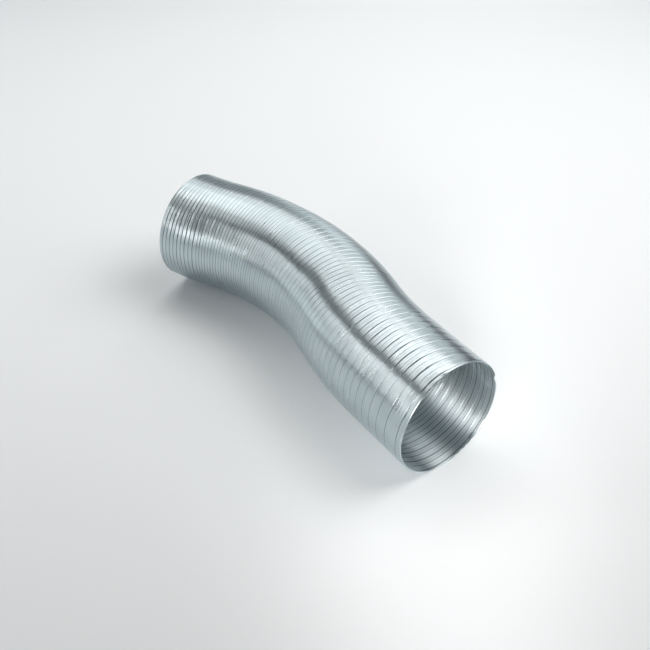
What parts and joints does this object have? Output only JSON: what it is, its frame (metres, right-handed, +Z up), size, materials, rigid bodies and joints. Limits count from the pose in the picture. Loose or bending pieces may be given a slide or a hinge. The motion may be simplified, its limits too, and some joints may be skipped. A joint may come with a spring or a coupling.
{
  "type": "flexible air duct",
  "caption": "Semi-rigid aluminium air duct: a helically corrugated hose that bends, stretches and holds its shape, open at both ends.",
  "frame": {"origin": "under the middle of the duct as it lies, on the floor", "axes": "+X out of the mouth, square to its rim; +Z up"},
  "size_m": [0.3765, 0.1387, 0.1053],
  "materials": {
    "foil": "bright mill-finish foil, dulled in its grooves"
  },
  "bodies": {
    "mouth": {"mouth_cuff": "foil", "bellows_01": "foil"},
    "band_01": {"band_01": "foil", "bellows_02": "foil"},
    "band_02": {"band_02": "foil", "bellows_03": "foil"},
    "band_03": {"band_03": "foil", "bellows_04": "foil"},
    "band_04": {"band_04": "foil", "bellows_05": "foil"},
    "band_05": {"band_05": "foil", "bellows_06": "foil"},
    "band_06": {"band_06": "foil", "bellows_07": "foil"},
    "band_07": {"band_07": "foil", "bellows_08": "foil"},
    "band_08": {"band_08": "foil", "bellows_09": "foil"},
    "band_09": {"band_09": "foil", "bellows_10": "foil"},
    "band_10": {"band_10": "foil", "bellows_11": "foil"},
    "band_11": {"band_11": "foil", "bellows_12": "foil"},
    "tail": {"tail_cuff": "foil"}
  },
  "joints": [
    {"name": "stretch_01", "type": "slide", "parent": "mouth", "child": "band_01", "axis": [-0.9968, 0.0802, 0], "range_m": [-0.0165, 0.0189], "deforming": ["bellows_01"]},
    {"name": "turn_01", "type": "hinge", "parent": "band_01", "child": "band_02", "pos_m": [0.12054, 0.04342, 0.05265], "axis": [0, 0, -1], "range_deg": [-6.1, 13.1], "deforming": ["bellows_02"]},
    {"name": "lift_01", "type": "hinge", "parent": "band_02", "child": "band_03", "pos_m": [0.08913, -0.00597, 0.1053], "axis": [0.153, 0.9882, 0], "range_deg": [-3.5, 15.8], "deforming": ["bellows_03"]},
    {"name": "stretch_02", "type": "slide", "parent": "band_03", "child": "band_04", "axis": [-0.9747, 0.2237, 0], "range_m": [-0.0045, 0.0309], "deforming": ["bellows_04"]},
    {"name": "turn_02", "type": "hinge", "parent": "band_04", "child": "band_05", "pos_m": [0.02892, -0.04618, 0.05265], "axis": [0, 0, 1], "range_deg": [-1.7, 17.5], "deforming": ["bellows_05"]},
    {"name": "dip_01", "type": "hinge", "parent": "band_05", "child": "band_06", "pos_m": [0.02161, 0.0104, 0], "axis": [-0.2213, -0.9752, 0], "range_deg": [-3.1, 16.1], "deforming": ["bellows_06"]},
    {"name": "stretch_03", "type": "slide", "parent": "band_06", "child": "band_07", "axis": [-0.9924, 0.1228, 0], "range_m": [-0.0072, 0.0282], "deforming": ["bellows_07"]},
    {"name": "turn_03", "type": "hinge", "parent": "band_07", "child": "band_08", "pos_m": [-0.03144, -0.03597, 0.05265], "axis": [0, 0, 1], "range_deg": [-7, 12.3], "deforming": ["bellows_08"]},
    {"name": "lift_02", "type": "hinge", "parent": "band_08", "child": "band_09", "pos_m": [-0.05958, 0.01548, 0.1053], "axis": [-0.0981, 0.9952, 0], "range_deg": [-5.3, 13.9], "deforming": ["bellows_09"]},
    {"name": "stretch_04", "type": "slide", "parent": "band_09", "child": "band_10", "axis": [-0.976, -0.2176, 0], "range_m": [-0.0112, 0.0242], "deforming": ["bellows_10"]},
    {"name": "turn_04", "type": "hinge", "parent": "band_10", "child": "band_11", "pos_m": [-0.10306, -0.04792, 0.05265], "axis": [0, 0, 1], "range_deg": [-9.3, 10], "deforming": ["bellows_11"]},
    {"name": "dip_02", "type": "hinge", "parent": "band_11", "child": "tail", "pos_m": [-0.15005, -0.01046, 0], "axis": [0.3744, -0.9273, 0], "range_deg": [-5.5, 13.8], "deforming": ["bellows_12"]}
  ]
}
